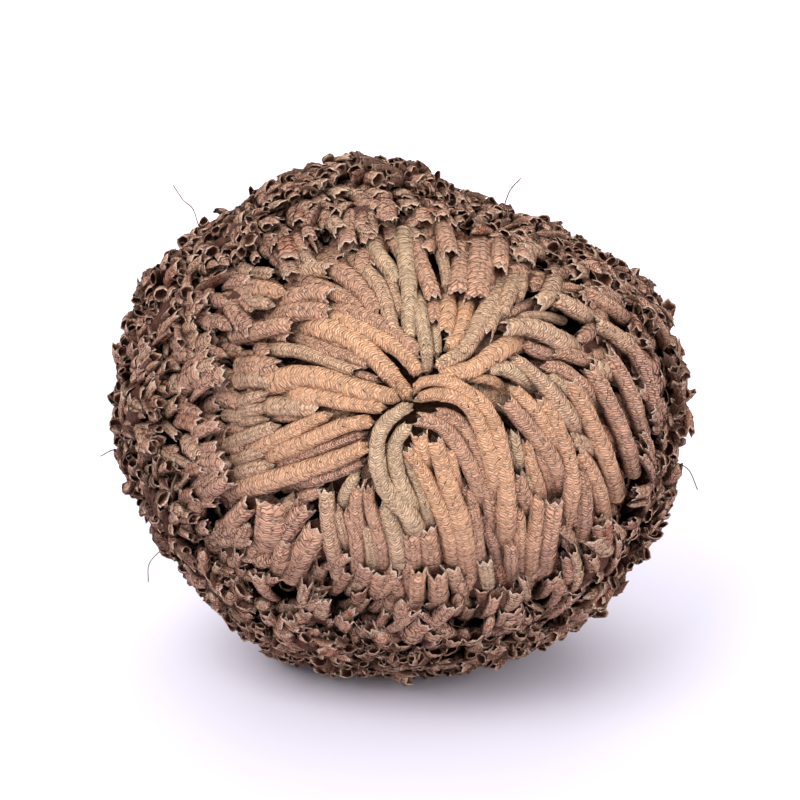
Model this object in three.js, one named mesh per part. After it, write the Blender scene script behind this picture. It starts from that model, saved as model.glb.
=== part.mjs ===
// A dried rose of Jericho, the resurrection plant Selaginella lepidophylla, closed into a ball.
// A short woody crown with a tuft of roots stands at the back of the ball. Four whorls of fronds
// grow from its side, arch round the ball in layers like an onion's, and close over the mouth at
// the front. The ball lies on its side, on the fronds that its own weight has pressed flat.
//
// Everything is first built on a true sphere round the ball's centre, with the mouth at +Z:
// a frond fills part of one layer between two sector edges, so fronds can't meet. inTheBall()
// then turns, swells and flattens that sphere into the ball as it lies, without folding it.
import * as THREE from "three";
import { mergeVertices } from "three/addons/utils/BufferGeometryUtils.js";

// ---- Driving dimensions, in millimetres and degrees ----
const ballWidth = 89;
const ballDepth = 84;
const ballHeight = 79;
const footPress = 2.1; // how far its weight has pressed the foot of the ball in
const footRounding = 1.4; // how near its edge the foot starts to round over
const mouthRise = 23; // how far the mouth looks up from the horizontal
const mouthTurn = 2; // how far it looks to the right of straight ahead

const frondThickness = 4;
const layerGap = 1.2; // between one whorl and the next
const sideGap = 0.6; // between neighbours in a whorl
const tipThickness = 1; // where a frond ends on the one below it
const riseSpan = 26; // degrees over which a deeper whorl comes up to the ball's surface
const tipSpan = 16; // degrees over which a frond narrows to its tip
const heartCurl = 13; // how deep the innermost tips turn into the ball
const heartCurlSpan = 12; // degrees over which they do

const crownRadius = 7;
const crownSpare = 0.4; // how far the crown reaches past the innermost stalks
const crownClearance = 0.4; // between the crown and a frond's stalk
const tuftRadius = 9;
const tuftLength = 6;
const tuftGap = 0.3;

const mouthTwist = 16; // how far the layers swirl round the mouth
const twistSpan = 60; // degrees from the mouth over which the swirl dies away
const mouthLean = 9; // how much further from the mouth the layers end on one side than halfway round
const leanWay = -40; // that side, counted from the right of the mouth upwards
const leanSpan = 110; // degrees from the mouth over which the lean rises and dies away

// The whorls from the outside in. tipAngle and tipSpread say how far from the mouth the tips lie,
// and firstFrond is the way of the first one, counted from the right of the mouth upwards.
const whorls = [
  { name: "outer_frond", count: 16, tipAngle: 50, tipSpread: 12, firstFrond: -90, colour: 0x6b4c3c, roughness: 0.95 },
  { name: "middle_frond", count: 15, tipAngle: 32, tipSpread: 10, firstFrond: 6, colour: 0x8e6a55, roughness: 0.92 },
  { name: "inner_frond", count: 13, tipAngle: 16, tipSpread: 7, firstFrond: 14, colour: 0xb48c6f, roughness: 0.9 },
  { name: "heart_frond", count: 9, tipAngle: 6, tipSpread: 2, firstFrond: 30, colour: 0xcda684, roughness: 0.88 },
];
const edgeWander = 2.2; // degrees that the edge between two neighbours wanders to each side
const edgeWaves = 3.1; // waves of that edge in a half turn

// Where the ball swells and sinks: the way from its centre, the height in mm and the spread in degrees.
const swellings = [
  { x: 0.47, y: 0.1, z: 0.88, height: -7.4, spread: 27 }, // saddle between the two upper lobes
  { x: 0.36, y: 0.1, z: 0.92, height: -2.4, spread: 14 }, // the saddle's steeper side
  { x: -0.35, y: 0.0, z: 0.94, height: 1.6, spread: 30 }, // higher lobe
  { x: -0.62, y: 0.05, z: 0.78, height: -1.8, spread: 18 }, // its left shoulder
  { x: 0.94, y: -0.1, z: 0.33, height: -0.6, spread: 26 }, // right-hand side
  { x: -0.8, y: 0.05, z: -0.6, height: -5.6, spread: 20 }, // flat low on the left
  { x: -0.45, y: -0.1, z: -0.89, height: 2.4, spread: 20 }, // heel beside it
  { x: 0.78, y: -0.2, z: -0.6, height: 0.6, spread: 24 }, // low on the right
  { x: 0.05, y: 1.0, z: 0.3, height: -1.8, spread: 32 }, // back, round the roots
];

// Fineness of the facets.
const stationStep = 6; // degrees of the arc between two sections of a frond
const curlStep = 2; // the same close to the mouth, where the tips curl
const curlEnd = 24; // how far from the mouth that goes
const sectionSides = 6; // one flat side faces out, as wide as half the frond
const crownSides = 20;

// ---- Shared helpers ----
const degrees = THREE.MathUtils.degToRad;
const smooth = (x) => THREE.MathUtils.smoothstep(x, 0, 1);
const sphereRadius = ballWidth / 2;
const restHeight = ballHeight / 2 - footPress; // the centre above the surface
const layerPitch = frondThickness + layerGap;
const layersDepth = (whorls.length - 1) * layerPitch + frondThickness; // where every whorl lies in full

// The same number from 0 to 1 each time for a seed.
function scatter(seed) {
  const s = Math.sin(seed * 12.9898 + 4.1) * 43758.5453;
  return s - Math.floor(s);
}

// A point at an angle from the mouth, an angle round it and a depth under the sphere.
function onSphere(fromMouth, round, depth) {
  const r = sphereRadius - depth;
  const across = r * Math.sin(degrees(fromMouth));
  return new THREE.Vector3(
    across * Math.cos(degrees(round)),
    across * Math.sin(degrees(round)),
    r * Math.cos(degrees(fromMouth)),
  );
}

// Turns the mouth from +Z to the way it looks: X stays level, and Y becomes the way up.
const mouthWay = new THREE.Vector3(
  Math.sin(degrees(mouthTurn)) * Math.cos(degrees(mouthRise)),
  -Math.cos(degrees(mouthTurn)) * Math.cos(degrees(mouthRise)),
  Math.sin(degrees(mouthRise)),
);
const levelWay = new THREE.Vector3(Math.cos(degrees(mouthTurn)), Math.sin(degrees(mouthTurn)), 0);
const mouthTurning = new THREE.Matrix4().makeBasis(
  levelWay,
  new THREE.Vector3().crossVectors(mouthWay, levelWay),
  mouthWay,
);

// How far the ball's surface lies from its centre in a direction.
function reach(way) {
  const round = Math.hypot(way.x / (ballWidth / 2), way.y / (ballDepth / 2), way.z / (ballHeight / 2));
  let r = 1 / round;
  for (const s of swellings) {
    const away = way.angleTo(new THREE.Vector3(s.x, s.y, s.z)) / degrees(s.spread);
    r += s.height * Math.exp(-away * away);
  }
  // The side rounds over into the flat foot where the two come within footRounding of each other.
  const toFloor = way.z < 0 ? restHeight / -way.z : Infinity;
  const nearness = Math.max(0, 1 - Math.abs(r - toFloor) / footRounding);
  return Math.min(r, toFloor) - footRounding * nearness * nearness / 4;
}

// Carries a point of the sphere into the ball as it lies: the layers lean and swirl about the mouth,
// the mouth turns to the front, and the way's own reach stretches the distance from the centre.
function inTheBall(point) {
  const length = point.length();
  const fromMouth = THREE.MathUtils.radToDeg(Math.acos(THREE.MathUtils.clamp(point.z / length, -1, 1)));
  const round = THREE.MathUtils.radToDeg(Math.atan2(point.y, point.x));
  const leaning = Math.pow(Math.sin(Math.PI * Math.min(1, fromMouth / leanSpan)), 2);
  const leant = fromMouth + mouthLean * leaning * Math.cos(degrees(round - leanWay));
  const twisted = round + mouthTwist * Math.pow(Math.max(0, 1 - fromMouth / twistSpan), 2);
  const way = onSphere(leant, twisted, sphereRadius - 1).applyMatrix4(mouthTurning);
  const carried = way.clone().multiplyScalar(length * reach(way) / sphereRadius);
  carried.z += restHeight;
  return carried;
}

// Moves every corner of a geometry through a function, and closes its seams.
function reshape(geometry, move) {
  geometry.deleteAttribute("normal");
  geometry.deleteAttribute("uv");
  const shape = mergeVertices(geometry, 1e-4);
  const corners = shape.getAttribute("position");
  const corner = new THREE.Vector3();
  for (let i = 0; i < corners.count; i++) {
    const moved = move(corner.fromBufferAttribute(corners, i));
    corners.setXYZ(i, moved.x, moved.y, moved.z);
  }
  shape.computeVertexNormals();
  return shape;
}

// ---- Fronds ----
// A whorl counts as this share of its layer at an angle from the mouth: none at its tips, then all of it.
const share = (whorl, fromMouth) => smooth((fromMouth - whorl.tipAngle) / riseSpan);

// The depth of a whorl's outer side, under all the whorls outside it.
function depthOf(index, fromMouth) {
  return whorls.slice(0, index).reduce((sum, w) => sum + layerPitch * share(w, fromMouth), 0);
}

// The edge between a frond and the one before it, in degrees round the mouth.
function edge(whorl, number, fromMouth) {
  const n = ((number % whorl.count) + whorl.count) % whorl.count;
  const seed = n + whorl.count * 7;
  const wander = edgeWander * Math.sin(degrees(fromMouth) * edgeWaves + 6.28 * scatter(seed));
  return whorl.firstFrond + (360 / whorl.count) * (number - 0.5) + wander;
}

// The angles from the mouth at which a frond has its sections. Between its two ends they are the same
// for every frond, so that the facets of one layer run along those of the next.
function sections(tip, base) {
  const angles = [tip];
  let step = curlStep;
  for (let a = 0; a < base - 0.4 * stationStep; a += step) {
    step = a < curlEnd ? curlStep : stationStep;
    if (a > tip + 0.4 * step) angles.push(a);
  }
  angles.push(base);
  return angles;
}

function frond(whorl, index, number) {
  const innermost = index === whorls.length - 1;
  // The tip lies where the whorl's share of its layer leaves the tip its thickness.
  let tip = whorl.tipAngle;
  if (!innermost) {
    while (layerPitch * share(whorl, tip) < tipThickness + layerGap) tip += 0.25;
  }
  tip += whorl.tipSpread * scatter(number + 31 * index);
  // The stalk ends at the crown's side.
  const stalkDepth = depthOf(index, 180) + frondThickness;
  const base = 180 - THREE.MathUtils.radToDeg(
    Math.asin((crownRadius + crownClearance) / (sphereRadius - stalkDepth)),
  );

  const stations = sections(tip, base);
  const last = stations.length - 1;
  const prism = new THREE.CylinderGeometry(1, 1, 1, sectionSides, last, false, Math.PI / sectionSides);
  return reshape(prism, (p) => {
    const fromMouth = stations[Math.round((p.y + 0.5) * last)];
    const outer = depthOf(index, fromMouth);
    const thickness = innermost ? frondThickness : layerPitch * share(whorl, fromMouth) - layerGap;
    const curl = innermost ? heartCurl * smooth(1 - (fromMouth - tip) / heartCurlSpan) : 0;
    const flat = Math.cos(Math.PI / sectionSides);
    const inside = (1 - p.z / flat) / 2;
    const depth = outer + curl + thickness * inside;

    const low = edge(whorl, number, fromMouth);
    const high = edge(whorl, number + 1, fromMouth);
    const ring = (sphereRadius - outer - curl - thickness) * Math.sin(degrees(fromMouth));
    const gap = THREE.MathUtils.radToDeg(Math.asin(Math.min(1, sideGap / 2 / ring)));
    const narrowing = 0.5 + 0.5 * smooth((fromMouth - tip) / tipSpan);
    const half = ((high - low) / 2 - gap) * narrowing;
    return inTheBall(onSphere(fromMouth, (low + high) / 2 - half * p.x, depth));
  });
}

// ---- Crown and roots ----
// A turned solid about the line from the mouth through the centre, bulging a little on alternate sides.
function turned(profile, bulge) {
  const lathe = new THREE.LatheGeometry(profile.map(([r, h]) => new THREE.Vector2(r, h)), crownSides);
  return reshape(lathe, (p) => {
    const swell = 1 + bulge * Math.sin(5 * Math.atan2(p.z, p.x));
    // The profile's height runs towards the mouth, so that the crown stands at the back.
    return inTheBall(new THREE.Vector3(p.z * swell, p.x * swell, p.y));
  });
}

function rootCrown() {
  const back = -(sphereRadius - tuftGap);
  const crownLength = layersDepth - tuftGap + crownSpare;
  const round = 2;
  return turned([
    [0, back],
    [crownRadius - round, back],
    [crownRadius, back + round],
    [crownRadius, back + crownLength - 2 * round],
    [crownRadius - round, back + crownLength - round / 2],
    [0, back + crownLength],
  ], 0);
}

function rootTuft() {
  const front = -sphereRadius;
  return turned([
    [0, front - tuftLength],
    [tuftRadius * 0.5, front - tuftLength * 0.92],
    [tuftRadius * 0.85, front - tuftLength * 0.7],
    [tuftRadius, front - tuftLength * 0.35],
    [crownRadius * 0.95, front],
    [0, front],
  ], 0.05);
}

// ---- The plant ----
function piece(name, geometry, colour, roughness) {
  const material = new THREE.MeshStandardMaterial({ color: colour, roughness, metalness: 0, flatShading: true });
  const mesh = new THREE.Mesh(geometry, material);
  mesh.name = name;
  return mesh;
}

const plant = new THREE.Group();
plant.add(piece("root_crown", rootCrown(), 0x4a3527, 0.95));
plant.add(piece("root_tuft", rootTuft(), 0x3b2a20, 0.98));
whorls.forEach((whorl, index) => {
  for (let number = 0; number < whorl.count; number++) {
    const name = `${whorl.name}_${String(number + 1).padStart(2, "0")}`;
    plant.add(piece(name, frond(whorl, index, number), whorl.colour, whorl.roughness));
  }
});

export default plant;
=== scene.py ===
# A dried rose of Jericho, closed into a ball and lying on its side with the mouth to the front.
# Every frond is a ragged blade that carries leafy ropes: tubes of small scale leaves in collars. The
# blade is coloured dark as painted shade for the gaps between the ropes.
# Shapes are worked out in millimetres and degrees, and go into the meshes in metres.
import math

import bpy
import numpy as np
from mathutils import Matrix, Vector


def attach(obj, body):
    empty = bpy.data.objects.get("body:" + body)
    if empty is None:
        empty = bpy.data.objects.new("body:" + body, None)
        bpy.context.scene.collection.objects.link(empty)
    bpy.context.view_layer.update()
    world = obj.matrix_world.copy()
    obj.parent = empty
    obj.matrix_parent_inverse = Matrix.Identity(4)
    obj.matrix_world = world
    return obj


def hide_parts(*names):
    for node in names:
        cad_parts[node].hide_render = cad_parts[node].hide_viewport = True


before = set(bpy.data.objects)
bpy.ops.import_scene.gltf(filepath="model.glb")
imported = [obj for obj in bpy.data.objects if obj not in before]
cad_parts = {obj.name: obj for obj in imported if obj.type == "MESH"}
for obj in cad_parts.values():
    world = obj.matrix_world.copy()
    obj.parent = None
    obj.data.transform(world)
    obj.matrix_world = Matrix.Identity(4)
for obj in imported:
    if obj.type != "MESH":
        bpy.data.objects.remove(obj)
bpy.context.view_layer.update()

# The ball, as the CAD part lays it out.
ball = {
    "width": 89, "depth": 84, "height": 79,
    "footPress": 2.1, "footRounding": 1.4,
    "mouthRise": 23, "mouthTurn": 2,
    "mouthTwist": 16, "twistSpan": 60,
    "mouthLean": 9, "leanWay": -40, "leanSpan": 110,
    "frondThickness": 4, "layerGap": 1.2, "riseSpan": 26, "tipThickness": 1, "tipSpan": 16,
    "heartCurl": 13, "heartCurlSpan": 12,
    "crownRadius": 7, "crownClearance": 0.4,
    "edgeWander": 2.2, "edgeWaves": 3.1,
}
whorls = [
    {"name": "outer_frond", "count": 16, "tipAngle": 50, "tipSpread": 12, "firstFrond": -90},
    {"name": "middle_frond", "count": 15, "tipAngle": 32, "tipSpread": 10, "firstFrond": 6},
    {"name": "inner_frond", "count": 13, "tipAngle": 16, "tipSpread": 7, "firstFrond": 14},
    {"name": "heart_frond", "count": 9, "tipAngle": 6, "tipSpread": 2, "firstFrond": 30},
]
# Where the ball swells and sinks: the way from its centre, the height and the spread. The last few are
# not the CAD part's but the leaves' own, where they stand thicker or thinner on the fronds.
swellings = [
    ((0.47, 0.1, 0.88), -7.4, 27),
    ((0.36, 0.1, 0.92), -2.4, 14),
    ((-0.35, 0.0, 0.94), 1.6, 30),
    ((-0.62, 0.05, 0.78), -1.8, 18),
    ((0.94, -0.1, 0.33), -0.6, 26),
    ((-0.8, 0.05, -0.6), -5.6, 20),
    ((-0.45, -0.1, -0.89), 2.4, 20),
    ((0.78, -0.2, -0.6), 0.6, 24),
    ((0.05, 1.0, 0.3), -1.8, 32),
    ((0.34, 0.29, 0.89), -2.6, 9),
    ((0.54, 0.26, 0.80), 1.8, 9),
    ((0.98, -0.05, -0.17), -2.2, 12),
    ((0.85, -0.17, -0.50), -1.4, 12),
    ((0.90, 0.14, 0.42), 1.2, 11),
    ((-0.86, 0.16, 0.48), 1.3, 15),
    ((0.12, 0.3, 0.94), 1.2, 10),
]
sphereRadius = ball["width"] / 2
restHeight = ball["height"] / 2 - ball["footPress"]
layerPitch = ball["frondThickness"] + ball["layerGap"]
rise = math.radians(ball["mouthRise"])
turn = math.radians(ball["mouthTurn"])
mouthWay = np.array([math.sin(turn) * math.cos(rise), -math.cos(turn) * math.cos(rise), math.sin(rise)])
levelWay = np.array([math.cos(turn), math.sin(turn), 0.0])
mouthBasis = np.stack([levelWay, np.cross(mouthWay, levelWay), mouthWay])
metre = 0.001


def smooth(x):
    # 0 up to 0, 1 from 1, and 3x^2 - 2x^3 between
    x = np.clip(x, 0, 1)
    return x * x * (3 - 2 * x)


def unit(v):
    # each vector over its own length
    return v / np.maximum(np.linalg.norm(v, axis=-1, keepdims=True), 1e-9)


def scatter(seed):
    # what is left after the point of a large sine: the same number from 0 to 1 for a seed
    s = math.sin(seed * 12.9898 + 4.1) * 43758.5453
    return s - math.floor(s)


def reach(way):
    # the ellipsoid's radius that way, plus a bell for each swelling, cut flat and rounded at the foot
    half = np.array([ball["width"], ball["depth"], ball["height"]]) / 2
    r = 1 / np.linalg.norm(way / half, axis=-1)
    for towards, height, spread in swellings:
        cosine = way @ unit(np.array(towards, dtype=float))
        away = np.degrees(np.arccos(np.clip(cosine, -1, 1))) / spread
        r = r + height * np.exp(-away * away)
    down = np.maximum(-way[..., 2], 1e-6)
    toFloor = np.where(way[..., 2] < 0, restHeight / down, 1e6)
    nearness = np.clip(1 - np.abs(r - toFloor) / ball["footRounding"], 0, None)
    return np.minimum(r, toFloor) - ball["footRounding"] * nearness ** 2 / 4


def onTheBall(fromMouth, around, depth):
    # the sphere's point at two angles, turned to face the mouth's way, and stretched by its reach
    a = np.radians(fromMouth)
    b = np.radians(around)
    way = np.stack([np.sin(a) * np.cos(b), np.sin(a) * np.sin(b), np.cos(a)], axis=-1) @ mouthBasis
    stretched = way * ((sphereRadius - depth) * reach(way) / sphereRadius)[..., None]
    return stretched + np.array([0, 0, restHeight])


def inTheBall(fromMouth, around, depth):
    # the same, after the layers lean to one side and swirl about the mouth
    leaning = np.sin(np.pi * np.clip(fromMouth / ball["leanSpan"], 0, 1)) ** 2
    leant = fromMouth + ball["mouthLean"] * leaning * np.cos(np.radians(around - ball["leanWay"]))
    twist = ball["mouthTwist"] * np.clip(1 - fromMouth / ball["twistSpan"], 0, None) ** 2
    return onTheBall(leant, around + twist, depth)


def shareOf(whorl, fromMouth):
    # the smooth step from a whorl's tips to where it lies in full
    return smooth((fromMouth - whorl["tipAngle"]) / ball["riseSpan"])


def depthOf(index, fromMouth):
    # the layers of all the whorls outside this one, each by its share
    return sum((layerPitch * shareOf(w, fromMouth) for w in whorls[:index]), np.zeros_like(fromMouth))


def edgeOf(whorl, number, fromMouth):
    # even sectors round the mouth, with a slow wave of the edge
    seed = number % whorl["count"] + whorl["count"] * 7
    wave = np.sin(np.radians(fromMouth) * ball["edgeWaves"] + 6.28 * scatter(seed))
    return whorl["firstFrond"] + 360 / whorl["count"] * (number - 0.5) + ball["edgeWander"] * wave


def tipOf(index, number):
    # the angle at which a frond has its tip's thickness, plus its own scatter
    whorl = whorls[index]
    tip = whorl["tipAngle"]
    if index < len(whorls) - 1:
        while layerPitch * shareOf(whorl, tip) < ball["tipThickness"] + ball["layerGap"]:
            tip += 0.25
    return tip + whorl["tipSpread"] * scatter(number + 31 * index)


def baseOf(index):
    # the angle at which a stalk meets the crown's side
    stalkDepth = float(depthOf(index, np.array(180.0))) + ball["frondThickness"]
    across = (ball["crownRadius"] + ball["crownClearance"]) / (sphereRadius - stalkDepth)
    return 180 - math.degrees(math.asin(across))


class Wire:
    # one socket of a node tree, for shader maths as expressions: its sums, differences and products
    # add Math nodes
    def __init__(self, tree, socket):
        self.tree = tree
        self.socket = socket

    def node(self, kind, settings=None, sockets=None, output=0):
        # a node of any kind: its settings first, then its sockets' values or links
        made = self.tree.nodes.new(kind)
        for name, value in (settings or {}).items():
            setattr(made, name, value)
        for name, value in (sockets or {}).items():
            if isinstance(value, Wire):
                self.tree.links.new(value.socket, made.inputs[name])
            else:
                made.inputs[name].default_value = value
        return Wire(self.tree, made.outputs[output])

    def maths(self, operation, *others, clamp=False):
        # one Math node of this and the others
        values = dict(enumerate((self,) + others))
        return self.node("ShaderNodeMath", {"operation": operation, "use_clamp": clamp}, values)

    def __add__(self, other):
        return self.maths("ADD", other)

    def __sub__(self, other):
        return self.maths("SUBTRACT", other)

    def __rsub__(self, other):
        return self.node("ShaderNodeMath", {"operation": "SUBTRACT"}, {0: other, 1: self})

    def __mul__(self, other):
        return self.maths("MULTIPLY", other)

    def clamped(self):
        # kept from 0 to 1
        return self.maths("ADD", 0.0, clamp=True)

    def between(self, low, high):
        # 0 at low and 1 at high, smoothly
        sockets = {"Value": self, "From Min": low, "From Max": high}
        return self.node("ShaderNodeMapRange", {"interpolation_type": "SMOOTHSTEP"}, sockets)

    def mixed(self, first, second):
        # this share of the second colour in the first
        return self.node("ShaderNodeMix", {"data_type": "RGBA"}, {0: self, 6: first, 7: second}, 2)

    def noise(self, size, detail, roughness=0.5):
        # noise with patches of this size in mm
        sockets = {"Vector": self, "Scale": 1 / (size * metre), "Detail": detail, "Roughness": roughness}
        return self.node("ShaderNodeTexNoise", {}, sockets)

    def into(self, shader, name):
        # feeds one of the shader's inputs
        self.tree.links.new(self.socket, shader.inputs[name])

    def raised(self, shader, distance):
        # this height as the shader's bump
        sockets = {"Height": self, "Distance": distance, "Strength": 1.0}
        self.node("ShaderNodeBump", {}, sockets).into(shader, "Normal")


def linear(red, green, blue):
    # a colour as it is seen, 0 to 255, into the light it sends back
    seen = np.array([red, green, blue]) / 255
    light = np.where(seen <= 0.04045, seen / 12.92, ((seen + 0.055) / 1.055) ** 2.4)
    return (float(light[0]), float(light[1]), float(light[2]), 1.0)


def startMaterial(name, shine):
    # an empty tree with its Principled shader, and a wire to start expressions from
    material = bpy.data.materials.new(name)
    material.use_nodes = True
    tree = material.node_tree
    tree.nodes.clear()
    shader = tree.nodes.new("ShaderNodeBsdfPrincipled")
    output = tree.nodes.new("ShaderNodeOutputMaterial")
    tree.links.new(shader.outputs[0], output.inputs[0])
    shader.inputs["Specular IOR Level"].default_value = shine
    coordinates = tree.nodes.new("ShaderNodeTexCoord")
    return material, shader, Wire(tree, coordinates.outputs["Object"])


def attribute(place, name):
    # a number that the mesh carries at each corner
    return place.node("ShaderNodeAttribute", {"attribute_name": name}, output=2)


# Leaf colours as they are seen. young is by the mouth and old on the outside of the ball. The leaves
# lie in rows rowPitch apart that run ahead from the back of a rope to its sides by rowSlant. A pair is
# where something starts and where it is in full.
leafLooks = {
    "young": (234, 180, 140), "middling": (214, 164, 135), "old": (202, 153, 130),
    "grey": (216, 186, 152), "greyShare": 0.36, "greyStrength": 0.95, "greyFade": 0.6,
    "rust": (158, 84, 52), "rustShare": 0.10, "rustPatches": (0.36, 0.58), "rustStrength": 0.7,
    # the edge colour is the pale of the leaves' rims: a painted highlight where they catch the light
    "edge": (250, 224, 200), "rimHighlightShare": 0.9, "edgeFrom": (0.6, 1.0), "rimHighlightPatches": (0.3, 0.6),
    # the pit colour is the dark brown of the painted shade at the leaves' feet, along their borders and
    # on the ropes' sides, and also of their own dark specks
    "pit": (64, 28, 16), "footShadeTo": (0.0, 0.5), "footShadeDark": 0.6,
    # the wall's and the hollow's browns are painted shade inside the ropes' open ends, deepest at the
    # floor
    "wallShade": (132, 84, 64), "hollowShade": (58, 30, 24),
    "rowPitch": 0.36, "rowSlant": 5.2, "leavesRound": 3.6, "leafDisorder": 0.5, "rowWidth": (0.0, 0.2),
    # the rows' and the flanks' darkening is painted shade along the leaves' borders and on a rope's sides
    "rowShade": 1.0, "rowPatches": (0.25, 0.6), "flankShade": (0.38, 0.72), "flankShadeDark": 0.75,
    "flankShadeFade": 0.15, "specks": (0.58, 0.74), "speckDark": 0.55, "light": 0.60, "mottleLight": 0.5,
    "leafLight": 0.3, "leafVariety": 0.30, "mottleSize": 1.3, "speckSize": 0.26, "fibreSize": 0.1,
    "bump": 0.0002, "ridge": (0.0, 0.3), "fibreHeight": 0.35, "speckHeight": 0.6,
    "roughness": 0.84, "roughSpread": 0.2, "shine": 0.2,
}


def leafMaterial(name, looks):
    # age runs from young through middling to old; then grey and rusty branches, mottling, the rows of
    # leaves as slanted cells with painted shade along their borders, pale leaf rims that are a painted
    # highlight, painted shade at the leaves' feet and on the ropes' sides, dark specks and painted shade
    # in the hollows are laid over it in turn
    material, shader, place = startMaterial(name, looks["shine"])
    age, branch, leaf, edge, hollowShade, run, across = (attribute(place, key) for key in meshNumbers)

    def tint(key):
        # one of the looks' colours
        return linear(*looks[key])

    def cells(feature, output):
        # one cell for each leaf, mirrored about the back of the rope
        settings = {"voronoi_dimensions": "2D", "feature": feature}
        sockets = {"Vector": rows, "Scale": 1.0, "Randomness": looks["leafDisorder"]}
        return place.node("ShaderNodeTexVoronoi", settings, sockets, output)

    forward = run * (1 / looks["rowPitch"]) - across * looks["rowSlant"] + branch * 37
    sideways = across * looks["leavesRound"] + branch * 11
    rows = place.node("ShaderNodeCombineXYZ", {}, {0: forward, 1: sideways})
    border = cells("DISTANCE_TO_EDGE", 0)
    grain = place.node("ShaderNodeSeparateColor", {}, {0: cells("F1", 1)})
    mottle = place.noise(looks["mottleSize"], 3.0, 0.6)
    speck = place.noise(looks["speckSize"], 3.0, 0.6)
    fibre = place.noise(looks["fibreSize"], 2.0, 0.6)
    early = age.between(0.0, 0.5).mixed(tint("young"), tint("middling"))
    aged = age.between(0.5, 1.0).mixed(early, tint("old"))
    greying = looks["greyStrength"] - age * looks["greyFade"]
    greyed = (branch.between(1 - looks["greyShare"], 1.0) * greying).mixed(aged, tint("grey"))
    rustFrom = looks["rustShare"] * 0.4
    rust = (1 - branch.between(rustFrom, looks["rustShare"])) * mottle.between(*looks["rustPatches"])
    rusty = (rust * looks["rustStrength"]).mixed(greyed, tint("rust"))
    light = mottle * looks["mottleLight"] + leaf * looks["leafLight"] + grain * looks["leafVariety"]
    light = light + (looks["light"] - looks["leafVariety"] / 2)
    lit = place.node("ShaderNodeCombineColor", {}, {0: light, 1: light, 2: light})
    multiplied = {"data_type": "RGBA", "blend_type": "MULTIPLY"}
    toned = place.node("ShaderNodeMix", multiplied, {0: 1.0, 6: rusty, 7: lit}, 2)
    # painted shade along the borders between the leaves, in patches, stronger on older leaves
    dark = (age * 0.5 + 0.5) * looks["rowShade"] * mottle.between(*looks["rowPatches"])
    rowShaded = ((1 - border.between(*looks["rowWidth"])) * dark).mixed(toned, tint("pit"))
    # painted highlight on the leaves' rims, in patches
    pale = edge.between(*looks["edgeFrom"]) * speck.between(*looks["rimHighlightPatches"]) * looks["rimHighlightShare"]
    rimHighlighted = pale.mixed(rowShaded, tint("edge"))
    # painted shade at the foot of each collar, where it lies tucked under the rim of the one before
    footShaded = ((1 - edge.between(*looks["footShadeTo"])) * looks["footShadeDark"]).mixed(rimHighlighted, tint("pit"))
    # painted shade on a rope's sides and underside, where it sinks into the slits between ropes; a little
    # less on older ones
    flankShade = across.between(*looks["flankShade"]) * looks["flankShadeDark"] * (1 - age * looks["flankShadeFade"])
    flankShaded = flankShade.mixed(footShaded, tint("pit"))
    specked = (speck.between(*looks["specks"]) * looks["speckDark"]).mixed(flankShaded, tint("pit"))
    # painted shade inside an open end, from the wall's brown to the near black of its floor
    inside = hollowShade.between(0.5, 1.0).mixed(tint("wallShade"), tint("hollowShade"))
    hollowShade.between(0.1, 0.5).mixed(specked, inside).into(shader, "Base Color")
    rough = speck * looks["roughSpread"] + looks["roughness"] - looks["roughSpread"] / 2
    rough.clamped().into(shader, "Roughness")
    height = fibre * looks["fibreHeight"] + speck * looks["speckHeight"] + border.between(*looks["ridge"])
    height.raised(shader, looks["bump"])
    return material


# The blade's browns are dark enough to stand for the shade in the gaps between the ropes: painted shade.
# root_wood keeps browns of its own.
woodLooks = {
    "dark": (52, 27, 21), "light": (98, 62, 48), "grainSize": 0.8, "fineSize": 1 / 6,
    "browns": (0.35, 0.75), "roughness": 0.8, "roughSpread": 0.15, "shine": 0.2, "bump": 0.00025,
}


def woodMaterial(name, looks):
    # two browns by a coarse and a fine noise, with their bump
    material, shader, place = startMaterial(name, looks["shine"])
    grain = place.noise(looks["grainSize"], 5.0, 0.7)
    fine = place.noise(looks["fineSize"], 2.0)
    share = (grain * 0.8 + fine * 0.3).between(*looks["browns"])
    share.mixed(linear(*looks["dark"]), linear(*looks["light"])).into(shader, "Base Color")
    (fine * looks["roughSpread"] + looks["roughness"]).clamped().into(shader, "Roughness")
    (grain + fine * 0.3).raised(shader, looks["bump"])
    return material


# The numbers that a mesh carries at its corners, and how the meshes are finished.
meshNumbers = ("age", "branchTone", "leafTone", "leafEdge", "hollowShade", "run", "across")
meshing = {"lowest": 0.02, "cellMargin": 0.06, "sharpAngle": 52}


def spotsOf(*pairs):
    # the corners' places in the bake map, face by face, from their two coordinates
    return np.stack([np.stack(np.broadcast_arrays(*pair), -1) for pair in pairs], -2).reshape(-1, 2)


def show(name, data):
    # an object of the scene that has this data
    made = bpy.data.objects.new(name, data)
    bpy.context.scene.collection.objects.link(made)
    return made


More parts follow.
